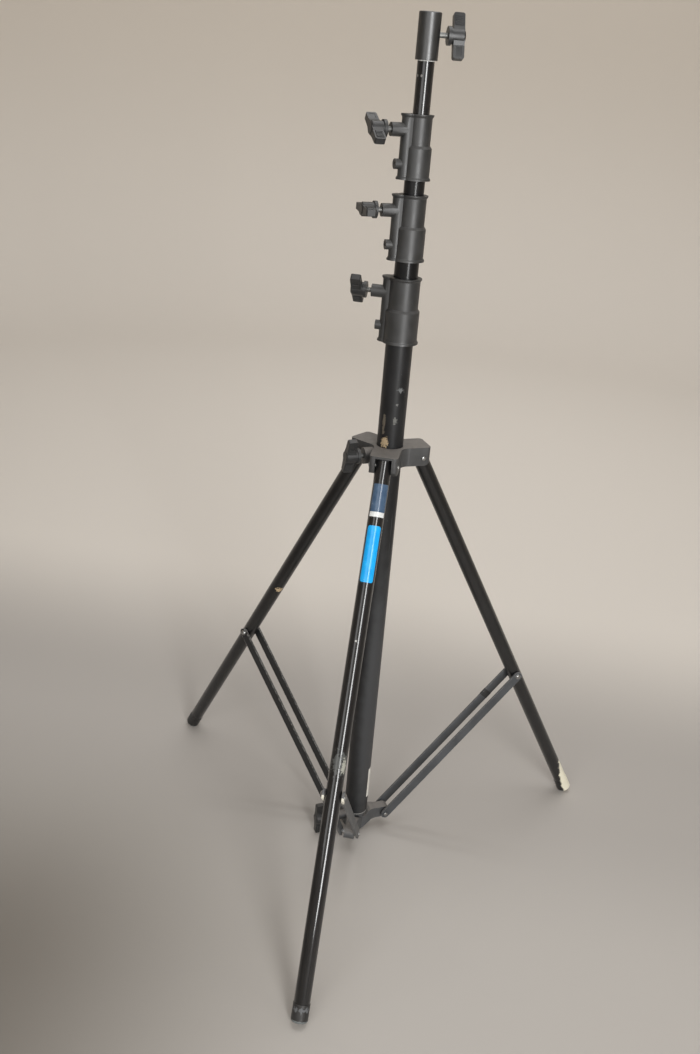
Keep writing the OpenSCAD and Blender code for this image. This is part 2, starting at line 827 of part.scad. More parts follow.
module left_leg() {
    color([0.03, 0.03, 0.035]) leg_tube(leg_sides[2]);
}
module left_leg_plug() {
    color([0.05, 0.05, 0.05]) leg_top_plug(leg_sides[2]);
}
module left_foot() {
    color([0.08, 0.08, 0.08]) foot_cap(leg_sides[2]);
}
module left_bar_left() {
    color([0.1, 0.1, 0.1]) brace_bar(leg_sides[2], 1);
}
module left_bar_right() {
    color([0.1, 0.1, 0.1]) brace_bar(leg_sides[2], -1);
}
module left_rivets() {
    color([0.75, 0.75, 0.75]) brace_rivets(leg_sides[2]);
}

base_tube();
base_collar();
base_bush();
base_collar_screw();
base_shoe();
base_screw();
base_knob();
lower_casting();
lower_pins();
lower_plug();
lower_screw();
lower_knob();
riser_one_tube();
riser_one_piston();
riser_one_seal();
riser_one_collar();
riser_one_bush();
riser_one_collar_screw();
riser_one_shoe();
riser_one_screw();
riser_one_knob();
riser_two_tube();
riser_two_piston();
riser_two_seal();
riser_two_collar();
riser_two_bush();
riser_two_collar_screw();
riser_two_shoe();
riser_two_screw();
riser_two_knob();
riser_three_tube();
riser_three_piston();
riser_three_seal();
spigot_socket();
socket_shoe();
socket_screw();
socket_knob();
leg_crown();
hinge_pins();
crown_shoe();
crown_screw();
crown_knob();
front_leg();
front_leg_plug();
front_foot();
front_bar_left();
front_bar_right();
front_rivets();
right_leg();
right_leg_plug();
right_foot();
right_bar_left();
right_bar_right();
right_rivets();
left_leg();
left_leg_plug();
left_foot();
left_bar_left();
left_bar_right();
left_rivets();
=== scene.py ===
import json
import math

import bmesh
import bpy
from mathutils import Matrix, Vector


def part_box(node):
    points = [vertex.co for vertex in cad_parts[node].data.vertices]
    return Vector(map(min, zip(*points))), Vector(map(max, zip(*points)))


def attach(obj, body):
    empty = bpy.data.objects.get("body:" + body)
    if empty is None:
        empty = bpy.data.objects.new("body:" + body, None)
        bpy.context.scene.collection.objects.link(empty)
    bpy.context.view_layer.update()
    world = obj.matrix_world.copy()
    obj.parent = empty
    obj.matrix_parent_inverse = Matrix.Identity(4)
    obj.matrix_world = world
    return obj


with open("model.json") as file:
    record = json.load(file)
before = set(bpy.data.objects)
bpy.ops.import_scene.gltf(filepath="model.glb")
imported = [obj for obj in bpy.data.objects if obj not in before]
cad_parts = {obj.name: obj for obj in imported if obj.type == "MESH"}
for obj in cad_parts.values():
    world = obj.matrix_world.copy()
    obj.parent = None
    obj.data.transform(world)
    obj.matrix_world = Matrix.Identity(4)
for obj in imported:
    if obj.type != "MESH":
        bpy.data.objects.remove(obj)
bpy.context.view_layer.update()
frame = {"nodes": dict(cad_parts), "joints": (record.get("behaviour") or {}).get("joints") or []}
nodes = frame["nodes"]
joints = {joint["name"]: joint for joint in frame["joints"]}
scene = bpy.context.scene
scene.view_settings.view_transform = "Standard"
mm = 0.001
print("stage: frame loaded,", len(nodes), "nodes")


# camera, fitted to the tube widths and leg lines of the photograph; angles in radians
cameraFit = {
    "azimuth": 0.1185, "distance": 1.3028, "height": 1.1019,
    "pan": 0.0336, "pitch": 0.4232, "roll": 0.0807,
    "focalPixels": 1038.85, "imageLong": 1054, "sensor": 36, "clipEnd": 50,
}


def makeCamera(fit):
    heading = fit["azimuth"] + fit["pan"]
    place = Vector((fit["distance"] * math.sin(fit["azimuth"]),
                    -fit["distance"] * math.cos(fit["azimuth"]), fit["height"]))
    forward = Vector((-math.sin(heading) * math.cos(fit["pitch"]),
                      math.cos(heading) * math.cos(fit["pitch"]), -math.sin(fit["pitch"])))
    right = forward.cross(Vector((0, 0, 1))).normalized()
    up = right.cross(forward)
    turnedRight = right * math.cos(fit["roll"]) + up * math.sin(fit["roll"])
    turnedUp = up * math.cos(fit["roll"]) - right * math.sin(fit["roll"])
    data = bpy.data.cameras.new("viewCamera")
    data.sensor_width = fit["sensor"]
    data.lens = fit["focalPixels"] / fit["imageLong"] * fit["sensor"]
    data.clip_end = fit["clipEnd"]
    camera = bpy.data.objects.new("viewCamera", data)
    turn = Matrix((turnedRight, turnedUp, -forward)).transposed().to_4x4()
    camera.matrix_world = Matrix.Translation(place) @ turn
    scene.collection.objects.link(camera)
    scene.camera = camera


makeCamera(cameraFit)
print("stage: camera")


# node helpers: a value is either a socket to link or a constant to set
def feed(tree, socket, value):
    if isinstance(value, bpy.types.NodeSocket):
        tree.links.new(value, socket)
    else:
        socket.default_value = value


def addOperation(tree, kind, operation, values):
    node = tree.nodes.new("ShaderNode" + kind)
    node.operation = operation
    for socket, value in zip(node.inputs, values):
        feed(tree, socket, value)
    return node.outputs


def addMath(tree, operation, *values):
    return addOperation(tree, "Math", operation, values)[0]


def addVectorMath(tree, operation, *values):
    return addOperation(tree, "VectorMath", operation, values)


def splitVector(tree, vector):
    node = tree.nodes.new("ShaderNodeSeparateXYZ")
    feed(tree, node.inputs[0], vector)
    return node.outputs


def joinVector(tree, x=0, y=0, z=0):
    node = tree.nodes.new("ShaderNodeCombineXYZ")
    for socket, value in zip(node.inputs, (x, y, z)):
        feed(tree, socket, value)
    return node.outputs[0]


def addNoise(tree, vector, scale, detail):
    node = tree.nodes.new("ShaderNodeTexNoise")
    feed(tree, node.inputs["Vector"], vector)
    feed(tree, node.inputs["Scale"], scale)
    feed(tree, node.inputs["Detail"], detail)
    return node.outputs["Fac"]


def addRamp(tree, value, low, high):
    node = tree.nodes.new("ShaderNodeMapRange")
    node.interpolation_type = "SMOOTHSTEP"
    feed(tree, node.inputs["Value"], value)
    feed(tree, node.inputs["From Min"], low)
    feed(tree, node.inputs["From Max"], high)
    return node.outputs["Result"]


# a Mix node has its own mask, under, over and result sockets for each kind of data
mixSockets = {"FLOAT": (0, 2, 3, 0), "RGBA": (0, 6, 7, 2)}


def addMix(tree, kind, mask, under, over):
    node = tree.nodes.new("ShaderNodeMix")
    node.data_type = kind
    *inputs, result = mixSockets[kind]
    for socket, value in zip(inputs, (mask, under, over)):
        feed(tree, node.inputs[socket], value)
    return node.outputs[result]


def mixColour(tree, mask, under, over):
    return addMix(tree, "RGBA", mask, under, over)


def mixValue(tree, mask, under, over):
    return addMix(tree, "FLOAT", mask, under, over)


# inputs by name: a number is a default, None stands for a vector
def newGroup(name, inputs, outputs):
    group = bpy.data.node_groups.new(name, "ShaderNodeTree")
    for label, value in inputs.items():
        kind = "NodeSocketVector" if value is None else "NodeSocketFloat"
        socket = group.interface.new_socket(label, in_out="INPUT", socket_type=kind)
        if value is not None:
            socket.default_value = value
    for label in outputs:
        group.interface.new_socket(label, in_out="OUTPUT", socket_type="NodeSocketFloat")
    source = group.nodes.new("NodeGroupInput").outputs
    drain = group.nodes.new("NodeGroupOutput").inputs
    return group, source, drain


def useGroup(tree, group, **values):
    node = tree.nodes.new("ShaderNodeGroup")
    node.node_tree = group
    for label, value in values.items():
        feed(tree, node.inputs[label], value)
    return node.outputs


# fine height for bump, and a broad tone for colour and gloss
grainLook = {"fineDetail": 3, "patchDetail": 4, "tone": (0.3, 0.7)}


def makeGrain(look):
    group, source, drain = newGroup("surfaceGrain", {"Vector": None, "Scale": 900, "Patch": 40},
                                    ["Height", "Tone"])
    fine = addNoise(group, source["Vector"], source["Scale"], look["fineDetail"])
    feed(group, drain["Height"], fine)
    patches = addNoise(group, source["Vector"], source["Patch"], look["patchDetail"])
    feed(group, drain["Tone"], addRamp(group, patches, *look["tone"]))
    return group


# chips and rubbed spots: a broad and a finer noise added, cut at a level
scuffLook = {"finer": 6.3, "broadDetail": 2, "fineDetail": 3, "broadShare": 0.6, "fineShare": 0.4,
             "fade": 0.05}


def makeScuffs(look):
    group, source, drain = newGroup("scuffMarks", {"Vector": None, "Scale": 120, "Level": 0.62}, ["Mask"])
    broad = addNoise(group, source["Vector"], source["Scale"], look["broadDetail"])
    fineScale = addMath(group, "MULTIPLY", source["Scale"], look["finer"])
    fine = addNoise(group, source["Vector"], fineScale, look["fineDetail"])
    both = addMath(group, "ADD", addMath(group, "MULTIPLY", broad, look["broadShare"]),
                   addMath(group, "MULTIPLY", fine, look["fineShare"]))
    top = addMath(group, "ADD", source["Level"], look["fade"])
    feed(group, drain["Mask"], addRamp(group, both, source["Level"], top))
    return group


# long thin lines from sliding and carrying, along Z of the vector, broken here and there
scratchLook = {"stretch": (1, 1, 0.02), "lineDetail": 2, "fade": 0.06,
               "breakScale": 35, "breakDetail": 2, "breaks": (0.42, 0.6)}


def makeScratches(look):
    group, source, drain = newGroup("slideScratches", {"Vector": None, "Scale": 700, "Level": 0.66},
                                    ["Mask"])
    stretched = addVectorMath(group, "MULTIPLY", source["Vector"], look["stretch"])[0]
    lines = addNoise(group, stretched, source["Scale"], look["lineDetail"])
    breaks = addNoise(group, source["Vector"], look["breakScale"], look["breakDetail"])
    top = addMath(group, "ADD", source["Level"], look["fade"])
    mask = addMath(group, "MULTIPLY", addRamp(group, lines, source["Level"], top),
                   addRamp(group, breaks, *look["breaks"]))
    feed(group, drain["Mask"], mask)
    return group


# dust that lies on faces turned upwards
dustLook = {"upward": (0.15, 0.95), "cloudScale": 140, "cloudDetail": 5, "cloud": (-0.4, 0.75)}


def makeDust(look):
    group, source, drain = newGroup("restingDust", {"Vector": None, "Normal": None, "Amount": 0.3},
                                    ["Mask"])
    upward = addRamp(group, splitVector(group, source["Normal"])["Z"], *look["upward"])
    cloud = addNoise(group, source["Vector"], look["cloudScale"], look["cloudDetail"])
    lying = addMath(group, "MULTIPLY", upward, addRamp(group, cloud, *look["cloud"]))
    feed(group, drain["Mask"], addMath(group, "MULTIPLY", lying, source["Amount"]))
    return group


# paint rubbed off along edges: the rounded normal leaves the true one there
edgeLook = {"samples": 4, "rubbed": (0.03, 0.22), "patchScale": 260, "patchDetail": 4,
            "patchy": (0.38, 0.62)}


def makeEdgeWear(look):
    group, source, drain = newGroup("edgeWear", {"Vector": None, "Radius": 0.6 * mm, "Amount": 0.5},
                                    ["Mask"])
    rounded = group.nodes.new("ShaderNodeBevel")
    rounded.samples = look["samples"]
    feed(group, rounded.inputs["Radius"], source["Radius"])
    trueNormal = group.nodes.new("ShaderNodeNewGeometry").outputs["Normal"]
    agreement = addVectorMath(group, "DOT_PRODUCT", rounded.outputs[0], trueNormal)["Value"]
    edge = addRamp(group, addMath(group, "SUBTRACT", 1, agreement), *look["rubbed"])
    patches = addNoise(group, source["Vector"], look["patchScale"], look["patchDetail"])
    worn = addMath(group, "MULTIPLY", edge, addRamp(group, patches, *look["patchy"]))
    feed(group, drain["Mask"], addMath(group, "MULTIPLY", worn, source["Amount"]))
    return group


# one mark at one place on a piece: an ellipsoid whose edge a noise makes ragged
markLook = {"detail": 4, "noiseMiddle": 0.5, "stray": 6}


def makeMark(look):
    group, source, drain = newGroup(
        "singleMark", {"Vector": None, "Center": None, "Radii": None, "Ragged": 0.3, "Scale": 300,
                       "Soft": 0.08}, ["Mask"])
    offset = addVectorMath(group, "SUBTRACT", source["Vector"], source["Center"])[0]
    ratio = addVectorMath(group, "DIVIDE", offset, source["Radii"])[0]
    distance = addVectorMath(group, "LENGTH", ratio)["Value"]
    noise = addNoise(group, source["Vector"], source["Scale"], look["detail"])
    rough = addMath(group, "SUBTRACT", noise, look["noiseMiddle"])
    stray = addMath(group, "MULTIPLY", source["Ragged"], look["stray"])
    reach = addMath(group, "ADD", distance, addMath(group, "MULTIPLY", rough, stray))
    outside = addMath(group, "ADD", 1, source["Soft"])
    inside = addMath(group, "SUBTRACT", 1, source["Soft"])
    feed(group, drain["Mask"], addRamp(group, reach, outside, inside))
    return group


surfaceGrain = makeGrain(grainLook)
scuffMarks = makeScuffs(scuffLook)
slideScratches = makeScratches(scratchLook)
restingDust = makeDust(dustLook)
edgeWear = makeEdgeWear(edgeLook)
singleMark = makeMark(markLook)


def rgba(colour):
    return (*colour, 1)


# a finish: base colours, gloss range, and whichever effects its dictionary names
finishDefaults = {"coat": 0, "coatRough": 0.1, "coatIndex": 1.5, "shine": 0.5, "metal": 0,
                  "bumpDepth": 0.2 * mm}
markDefaults = {"soft": 0.08, "coat": 0.2}
wornGloss = {"scratch": 0.5, "scuff": 0.6, "dust": 0.8}


# layers over the base, lowest first: mask, colour, gloss and coat, where None changes nothing
def finishLayers(tree, finish, marks, vector, normal):
    if "scratch" in finish:
        scale, level, colour = finish["scratch"]
        mask = useGroup(tree, slideScratches, Vector=vector, Scale=scale, Level=level)["Mask"]
        yield mask, colour, wornGloss["scratch"], None
    if "scuff" in finish:
        scale, level, colour = finish["scuff"]
        mask = useGroup(tree, scuffMarks, Vector=vector, Scale=scale, Level=level)["Mask"]
        yield mask, colour, wornGloss["scuff"], 0
    if "edge" in finish:
        radius, amount, colour = finish["edge"]
        mask = useGroup(tree, edgeWear, Vector=vector, Radius=radius, Amount=amount)["Mask"]
        yield mask, colour, None, None
    if "dust" in finish:
        amount, colour = finish["dust"]
        mask = useGroup(tree, restingDust, Vector=vector, Normal=normal, Amount=amount)["Mask"]
        yield mask, colour, wornGloss["dust"], None
    for mark in ({**markDefaults, **mark} for mark in marks):
        mask = useGroup(tree, singleMark, Vector=vector, Center=mark["center"], Radii=mark["radii"],
                        Ragged=mark["ragged"], Scale=mark["scale"], Soft=mark["soft"])["Mask"]
        yield mask, mark["colour"], mark["rough"], mark["coat"]


def makeFinish(name, finish, toPiece=None, marks=()):
    finish = {**finishDefaults, **finish}
    material = bpy.data.materials.new(name)
    material.use_nodes = True
    tree = material.node_tree
    coordinates = tree.nodes.new("ShaderNodeTexCoord").outputs
    vector = coordinates["Object"]
    if toPiece is not None:
        mapping = tree.nodes.new("ShaderNodeMapping")
        feed(tree, mapping.inputs["Vector"], vector)
        mapping.inputs["Location"].default_value = toPiece.translation
        mapping.inputs["Rotation"].default_value = toPiece.to_euler()
        vector = mapping.outputs[0]
    grain = useGroup(tree, surfaceGrain, Vector=vector, Scale=finish["grain"], Patch=finish["patch"])
    colour = mixColour(tree, grain["Tone"], *map(rgba, finish["colour"]))
    gloss = mixValue(tree, grain["Tone"], *finish["rough"])
    coat = finish["coat"]
    layers = finishLayers(tree, finish, marks, vector, coordinates["Normal"])
    for mask, layerColour, layerGloss, layerCoat in layers:
        colour = mixColour(tree, mask, colour, rgba(layerColour))
        if layerGloss is not None:
            gloss = mixValue(tree, mask, gloss, layerGloss)
        if finish["coat"] and layerCoat is not None:
            coat = mixValue(tree, mask, coat, layerCoat)
    bump = tree.nodes.new("ShaderNodeBump")
    bump.inputs["Strength"].default_value = finish["bump"]
    bump.inputs["Distance"].default_value = finish["bumpDepth"]
    feed(tree, bump.inputs["Height"], grain["Height"])
    settings = {
        "Base Color": colour, "Roughness": gloss, "Metallic": finish["metal"], "Normal": bump.outputs[0],
        "Specular IOR Level": finish["shine"], "Coat Weight": coat, "Coat Roughness": finish["coatRough"],
        "Coat IOR": finish["coatIndex"],
    }
    for label, value in settings.items():
        feed(tree, tree.nodes["Principled BSDF"].inputs[label], value)
    return material


# places and sizes read from the CAD nodes
def boxMiddle(name):
    low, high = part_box(name)
    return (Vector(low) + Vector(high)) / 2


def boxWidth(name):
    low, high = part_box(name)
    return high[0] - low[0]


# legs: each has its own frame, +X its outer face, -Z down the tube from the hinge
def legFrame(side):
    hinge = joints[side + "_leg_hinge"]
    place = Vector(hinge["pos_m"])
    heading = math.atan2(place.y, place.x)
    lean = math.radians(hinge["range_deg"][1])
    turn = Matrix.Rotation(lean, 4, "Y") @ Matrix.Rotation(-heading, 4, "Z")
    return turn @ Matrix.Translation(-place)


# brace bars: X across the pair, Y towards the upper edge, Z up the bar, from its rivet
def barFrame(side):
    low = Vector(joints[side + "_brace_hinge"]["pos_m"])
    rivet = boxMiddle(side + "_rivets")
    along = (rivet - low).normalized()
    across = Vector((-low.y, low.x, 0)).normalized()
    wide = along.cross(across)
    if wide.z < 0:
        across, wide = -across, -wide
    return Matrix((across, wide, along)).to_4x4() @ Matrix.Translation(-rivet)


def onTube(radius, turn, along):
    angle = math.radians(turn)
    return Vector((radius * math.cos(angle), radius * math.sin(angle), along))


legSides = ("front", "right", "left")
frontFrame = legFrame("front")
legRadius = boxWidth("front_leg") / 2
columnRadius = boxWidth("base_tube") / 2
riserRadius = boxWidth("riser_three_tube") / 2
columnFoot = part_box("base_tube")[0][2]
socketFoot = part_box("spigot_socket")[0][2]
legEnd = max(-(frontFrame @ Vector(v.co)).z for v in nodes["front_foot"].data.vertices)


# finishes: scratch and scuff give scale, level and colour, edge gives radius, amount and colour,
# and dust gives amount and colour
enamel = {
    "colour": ((0.0045, 0.0045, 0.005), (0.0075, 0.0075, 0.008)), "rough": (0.32, 0.42), "shine": 0.16,
    "coat": 1, "coatRough": 0.055, "coatIndex": 1.52, "grain": 1100, "patch": 30, "bump": 0.03,
    "scratch": (620, 0.72, (0.05, 0.05, 0.05)), "scuff": (150, 0.69, (0.13, 0.125, 0.12)),
    "edge": (0.5 * mm, 0.5, (0.2, 0.2, 0.2)), "dust": (0.06, (0.30, 0.28, 0.26)),
}
columnPaint = dict(enamel, colour=((0.006, 0.0063, 0.007), (0.010, 0.0105, 0.0115)), rough=(0.40, 0.52),
                   shine=0.36, coat=0.2, coatRough=0.24, scratch=(520, 0.70, (0.06, 0.06, 0.06)),
                   scuff=(170, 0.67, (0.09, 0.09, 0.088)))
topRiserPaint = dict(enamel, coatRough=0.12)
handledPaint = dict(enamel, coat=0.3, coatRough=0.14)
mouldedBlack = {
    "colour": ((0.017, 0.0175, 0.0175), (0.026, 0.0265, 0.0265)), "rough": (0.42, 0.5), "shine": 0.75,
    "grain": 1500, "patch": 60, "bump": 0.10,
    "scuff": (240, 0.70, (0.07, 0.07, 0.07)), "edge": (0.6 * mm, 0.35, (0.13, 0.13, 0.13)),
    "dust": (0.14, (0.28, 0.265, 0.25)),
}
knobBlack = dict(mouldedBlack, colour=((0.013, 0.0135, 0.014), (0.022, 0.0225, 0.023)), rough=(0.38, 0.46),
                 shine=0.6, bump=0.16, scuff=(420, 0.68, (0.09, 0.09, 0.088)))
socketSatin = dict(mouldedBlack, colour=((0.011, 0.0115, 0.0115), (0.017, 0.0175, 0.0175)),
                   rough=(0.37, 0.43), shine=1, bump=0.06, dust=(0.06, (0.28, 0.265, 0.25)))
castBlack = dict(mouldedBlack, colour=((0.038, 0.0385, 0.039), (0.054, 0.0545, 0.055)), rough=(0.4, 0.5),
                 grain=800, bump=0.2, dust=(0.8, (0.22, 0.2, 0.18)))
# painted light: a lighter copy of castBlack for the lower casting, whose arms sit in shade
castWithPaintedLight = dict(castBlack, colour=((0.058, 0.061, 0.064), (0.080, 0.083, 0.087)))
# bars: pale rubbed edges, which also stand as painted highlight along the bars' edges
barBlack = dict(enamel, colour=((0.056, 0.060, 0.065), (0.081, 0.086, 0.093)), rough=(0.36, 0.46),
                shine=0.5, coat=0, scuff=(210, 0.66, (0.17, 0.17, 0.165)),
                edge=(1.2 * mm, 0.8, (0.36, 0.36, 0.35)), dust=(0.3, (0.30, 0.285, 0.27)))
# left bars: darker paint, and pale rubbed edges that are also a painted highlight along their lit edges
wornAndHighlitBar = dict(barBlack, colour=((0.012, 0.0125, 0.0135), (0.020, 0.021, 0.0225)),
               edge=(1.7 * mm, 1, (0.6, 0.6, 0.58)))
brightZinc = {
    "colour": ((0.36, 0.36, 0.355), (0.48, 0.48, 0.47)), "rough": (0.26, 0.4), "metal": 1,
    "grain": 1600, "patch": 300, "bump": 0.05, "scuff": (500, 0.64, (0.32, 0.30, 0.27)),
}
dullZinc = dict(brightZinc, colour=((0.17, 0.17, 0.165), (0.26, 0.26, 0.25)), rough=(0.5, 0.6))
darkSteel = dict(brightZinc, colour=((0.10, 0.10, 0.10), (0.17, 0.165, 0.16)), rough=(0.35, 0.5),
                 scuff=(500, 0.64, (0.3, 0.28, 0.25)))
brass = dict(brightZinc, colour=((0.66, 0.50, 0.22), (0.74, 0.58, 0.30)), rough=(0.25, 0.4),
             scuff=(500, 0.64, (0.34, 0.26, 0.14)))
paleNylon = {
    "colour": ((0.62, 0.60, 0.55), (0.72, 0.70, 0.65)), "rough": (0.42, 0.55),
    "grain": 900, "patch": 80, "bump": 0.06, "scuff": (260, 0.66, (0.35, 0.33, 0.3)),
}
greyNylon = dict(paleNylon, colour=((0.05, 0.05, 0.052), (0.08, 0.08, 0.082)),
                 scuff=(260, 0.66, (0.15, 0.15, 0.15)))
sealRubber = dict(greyNylon, colour=((0.02, 0.02, 0.02), (0.032, 0.032, 0.032)), rough=(0.6, 0.75))
footRubber = {
    "colour": ((0.012, 0.012, 0.0125), (0.022, 0.022, 0.022)), "rough": (0.3, 0.45),
    "grain": 700, "patch": 110, "bump": 0.15, "scuff": (190, 0.64, (0.10, 0.10, 0.098)),
    "dust": (0.2, (0.30, 0.28, 0.26)),
}


# single marks that the photograph shows, in the frame of the tube that carries them:
# turn in degrees round the tube, radii in mm; a mark at radius 0 goes all round the tube
def tubeMarks(radius, marks):
    return [dict(mark, center=onTube(radius, mark["turn"], mark["along"]),
                 radii=Vector(mark["radii"]) * mm) for mark in marks]


columnMarks = tubeMarks(columnRadius, [
    {"turn": 252, "along": 648 * mm, "radii": (5, 5, 7), "ragged": 0.42, "scale": 520,
     "colour": (0.33, 0.25, 0.15), "rough": 0.7},
    {"turn": 241, "along": 671 * mm, "radii": (2.2, 2.2, 12), "ragged": 0.5, "scale": 300,
     "colour": (0.10, 0.085, 0.065), "rough": 0.6},
    {"turn": 289, "along": 678 * mm, "radii": (2.6, 2.6, 3.6), "ragged": 0.7, "scale": 520,
     "colour": (0.12, 0.12, 0.112), "rough": 0.5},
    {"turn": 303, "along": 719 * mm, "radii": (3.4, 3.4, 2.6), "ragged": 0.7, "scale": 480,
     "colour": (0.13, 0.135, 0.135), "rough": 0.5},
    {"turn": 291, "along": 700 * mm, "radii": (1.6, 1.6, 1.6), "ragged": 0.6, "scale": 600,
     "colour": (0.12, 0.12, 0.115), "rough": 0.5},
    # a broad lighter film on the right half of the lower column: dust, and painted sheen on the side the
    # light falls on
    {"turn": 312, "along": 240 * mm, "radii": (15, 15, 205), "ragged": 0.1, "scale": 60, "soft": 0.5,
     "colour": (0.043, 0.045, 0.048), "rough": 0.5, "coat": 0.3},
]) + tubeMarks(0, [
    {"turn": 0, "along": columnFoot, "radii": (60, 60, 1.0), "ragged": 0.08, "scale": 500,
     "colour": (0.40, 0.40, 0.38), "rough": 0.4},
])
riserMarks = tubeMarks(riserRadius, [
    {"turn": turn, "along": socketFoot - 16.5 * mm, "radii": (1.3, 1.3, 1.4), "ragged": 0.1, "scale": 900,
     "colour": (0.20, 0.195, 0.185), "rough": 0.5} for turn in (222, 255)
]) + tubeMarks(0, [
    {"turn": 0, "along": socketFoot, "radii": (60, 60, 1.1), "ragged": 0.06, "scale": 500,
     "colour": (0.55, 0.55, 0.53), "rough": 0.35},
])
soleMarks = tubeMarks(0, [
    {"turn": 0, "along": -legEnd, "radii": (30, 30, 3.6), "ragged": 0.12, "scale": 260,
     "colour": (0.15, 0.165, 0.165), "rough": 0.6},
])
legMarks = {
    "front": tubeMarks(legRadius, [
        {"turn": 20, "along": -384 * mm, "radii": (7, 10, 14), "ragged": 0.6, "scale": 260,
         "colour": (0.085, 0.088, 0.085), "rough": 0.5, "coat": 0.5},
        {"turn": 52, "along": -386 * mm, "radii": (4, 4, 9), "ragged": 0.5, "scale": 430,
         "colour": (0.36, 0.36, 0.31), "rough": 0.6},
        {"turn": -1, "along": -228 * mm, "radii": (1.3, 1.3, 1.6), "ragged": 0.2, "scale": 500,
         "colour": (0.5, 0.5, 0.48), "rough": 0.5},
        {"turn": 8, "along": 17 * mm - legEnd, "radii": (8, 8, 2.6), "ragged": 0.85, "scale": 300,
         "colour": (0.12, 0.125, 0.13), "rough": 0.6},
    ]),
    "right": tubeMarks(1.1 * legRadius, [  # centred a little outside the leg's face
        {"turn": -32, "along": -2 * mm - legEnd, "radii": (15, 15, 66), "ragged": 0.08, "scale": 160,
         "colour": (0.86, 0.82, 0.66), "rough": 0.55, "coat": 0},
    ]),
    "left": tubeMarks(legRadius, [
        {"turn": 148, "along": -306 * mm, "radii": (5, 5, 3.8), "ragged": 0.5, "scale": 380,
         "colour": (0.55, 0.42, 0.26), "rough": 0.7, "coat": 0},
    ]),
}

# painted highlight: a cream edge at the upper end of the front bars, standing for the glint of light on
# their ends
barEndHighlight = [
    {"center": Vector((0, -6, 0)) * mm, "radii": Vector((30, 4.2, 13)) * mm, "ragged": 0.1, "scale": 300,
     "colour": (0.80, 0.77, 0.66), "rough": 0.5},
]

slotFinish = {
    "gloss_tube": enamel, "collar_black": mouldedBlack, "knob_black": knobBlack,
    "casting_black": castBlack, "bar_black": barBlack, "bright_steel": brightZinc,
    "dark_steel": darkSteel, "brass_pad": brass, "guide_plastic": paleNylon,
    "piston_plastic": greyNylon, "seal_rubber": sealRubber, "foot_rubber": footRubber,
}
slotMaterials = {slot: makeFinish(slot + "Finish", finish) for slot, finish in slotFinish.items()}
nodeMaterials = {
    "base_tube": makeFinish("columnFinish", columnPaint, marks=columnMarks),
    "riser_three_tube": makeFinish("topRiserFinish", topRiserPaint, marks=riserMarks),
    "spigot_socket": makeFinish("socketFinish", socketSatin),
    "lower_casting": makeFinish("lowerCastFinish", castWithPaintedLight),
}
handledTube = makeFinish("handledTubeFinish", handledPaint)
frontBar = makeFinish("frontBarFinish", barBlack, barFrame("front"), barEndHighlight)
leftBar = makeFinish("leftBarFinish", wornAndHighlitBar)
threadZinc = makeFinish("threadFinish", dullZinc)
for part in ("left", "right"):
    nodeMaterials["front_bar_" + part] = frontBar
    nodeMaterials["left_bar_" + part] = leftBar
for part in ("one", "two"):
    nodeMaterials["riser_" + part + "_tube"] = handledTube
for name in nodes:
    if name.endswith("_screw") and "collar" not in name:  # clamp screws, not the collars' grub screws
        nodeMaterials[name] = threadZinc
for side in legSides:
    marks = legMarks[side]
    nodeMaterials[side + "_leg"] = makeFinish(side + "LegFinish", enamel, legFrame(side), marks)
    nodeMaterials[side + "_foot"] = makeFinish(side + "FootFinish", footRubber, legFrame(side),
                                               soleMarks + marks)
for name, node in nodes.items():
    slotName = node.material_slots[0].material.name
    node.material_slots[0].material = nodeMaterials.get(name, slotMaterials[slotName])
print("stage: finishes")


# edges of the pieces that show: merged, made flat-faced and rounded; lengths in mm, angles in degrees
edgeRounds = {
    "widths": {"collar": 0.35, "knob": 0.28, "crown": 0.9, "casting": 0.7, "bar": 0.35, "socket": 0.4,
               "pins": 0.35, "rivets": 0.25, "screw": 0.2},
    "leftSharp": ("bush", "shoe", "piston", "seal", "plug", "foot"),
    "merge": 0.005, "flatAngle": 0.4, "edgeAngle": 34, "segments": 2,
}


def roundEdges(node, width, rounds):
    weld = node.modifiers.new("mergeTriangles", "WELD")
    weld.merge_threshold = rounds["merge"] * mm
    flat = node.modifiers.new("flatFaces", "DECIMATE")
    flat.decimate_type = "DISSOLVE"
    flat.angle_limit = math.radians(rounds["flatAngle"])
    bevel = node.modifiers.new("roundEdges", "BEVEL")
    bevel.width = width * mm
    bevel.segments = rounds["segments"]
    bevel.limit_method = "ANGLE"
    bevel.angle_limit = math.radians(rounds["edgeAngle"])
    even = node.modifiers.new("evenNormals", "WEIGHTED_NORMAL")  # merging spoils the loaded normals
    even.keep_sharp = True


for name, node in nodes.items():
    if any(part in name for part in edgeRounds["leftSharp"]):
        continue
    kind = next((k for k in edgeRounds["widths"] if k in name), None)
    if kind:
        roundEdges(node, edgeRounds["widths"][kind], edgeRounds)
print("stage: rounded edges")


def addPiece(name, mesh, material, body):
    piece = bpy.data.objects.new(name, mesh)
    scene.collection.objects.link(piece)
    mesh.materials.clear()
    mesh.materials.append(material)
    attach(piece, body)
    return piece


def meshData(name, mesh):
    bmesh.ops.recalc_face_normals(mesh, faces=mesh.faces)
    data = bpy.data.meshes.new(name)
    mesh.to_mesh(data)
    mesh.free()
    return data


# a thin sheet bent round a tube, with rounded corners; lift and sink in mm off the tube's face
labelSheet = {"columns": 28, "rows": 10, "lift": 0.12, "sink": 0.1}


